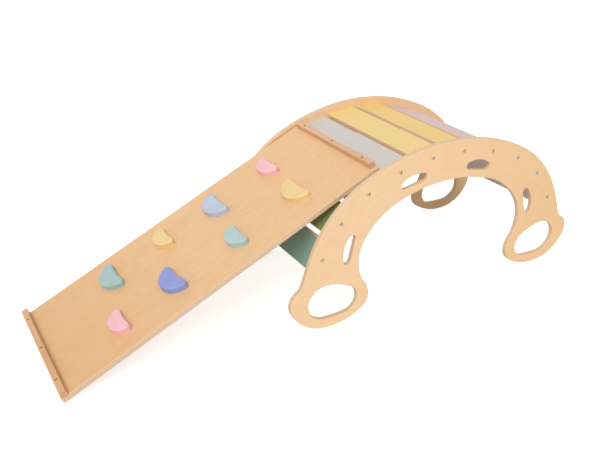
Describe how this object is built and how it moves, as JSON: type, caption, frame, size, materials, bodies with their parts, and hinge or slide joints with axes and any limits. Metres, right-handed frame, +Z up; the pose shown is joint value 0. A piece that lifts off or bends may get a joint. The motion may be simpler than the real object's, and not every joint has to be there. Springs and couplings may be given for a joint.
{
  "type": "wooden rocker arch",
  "caption": "Children's climbing arch in birch plywood on rounded rocker feet, with pastel slats, hand holes and a hook-on ramp that carries half-moon climbing holds.",
  "frame": {"origin": "middle of the bounding box in plan, on the floor", "axes": "+X up the ramp and along the arch, +Y across from the near panel to the far one, +Z up"},
  "size_m": [1.8612, 0.5644, 0.5421],
  "materials": {
    "birch_plywood": "clear satin lacquer over rotary-cut birch, plies bare at the edges",
    "batten_wood": "clear satin lacquer, straight grain",
    "beech": "plain",
    "zinc_plated_steel": "satin zinc plating",
    "dark_screw_steel": "dark zinc plating",
    "paint_teal": "satin water-based paint on both broad faces, bare ply at the edges",
    "paint_green": "satin water-based paint on both broad faces, bare ply at the edges",
    "paint_mint": "satin water-based paint on both broad faces, bare ply at the edges",
    "paint_cloud": "satin water-based paint on both broad faces, bare ply at the edges",
    "paint_lemon": "satin water-based paint on both broad faces, bare ply at the edges",
    "paint_yellow": "satin water-based paint on both broad faces, bare ply at the edges",
    "paint_rose": "satin water-based paint on both broad faces, bare ply at the edges",
    "paint_lavender": "satin water-based paint on both broad faces, bare ply at the edges",
    "paint_lilac": "satin water-based paint on both broad faces, bare ply at the edges",
    "paint_pink": "satin water-based paint on both broad faces, bare ply at the edges",
    "hold_pink": "satin water-based paint over rounded plywood",
    "hold_teal": "satin water-based paint over rounded plywood",
    "hold_periwinkle": "satin water-based paint over rounded plywood",
    "hold_yellow": "satin water-based paint over rounded plywood",
    "hold_mint": "satin water-based paint over rounded plywood",
    "hold_sky": "satin water-based paint over rounded plywood"
  },
  "bodies": {
    "arch": {"side_panel_front": "birch_plywood", "side_panel_back": "birch_plywood", "slat_01": "paint_teal", "slat_02": "paint_green", "slat_03": "paint_mint", "slat_04": "paint_cloud", "slat_05": "paint_lemon", "slat_06": "paint_yellow", "slat_07": "paint_rose", "slat_08": "paint_lavender", "slat_09": "paint_lilac", "slat_10": "paint_pink", "bolts_front": "zinc_plated_steel", "bolts_back": "zinc_plated_steel", "barrel_nuts_front": "zinc_plated_steel", "barrel_nuts_back": "zinc_plated_steel", "dowels_front": "beech", "dowels_back": "beech"},
    "ramp": {"ramp_board": "birch_plywood", "ramp_top_batten": "batten_wood", "ramp_hook_batten": "batten_wood", "ramp_foot_batten": "batten_wood", "hold_1": "hold_pink", "hold_2": "hold_teal", "hold_3": "hold_periwinkle", "hold_4": "hold_yellow", "hold_5": "hold_mint", "hold_6": "hold_sky", "hold_7": "hold_yellow", "hold_8": "hold_pink", "hold_screws": "dark_screw_steel", "top_batten_screws": "dark_screw_steel", "hook_batten_screws": "dark_screw_steel", "foot_batten_screws": "dark_screw_steel"}
  },
  "joints": [
    {"name": "ramp_lift", "type": "slide", "parent": "arch", "child": "ramp", "axis": [-0.4172, 0, 0.9088], "range_m": [0, 0.13]}
  ]
}
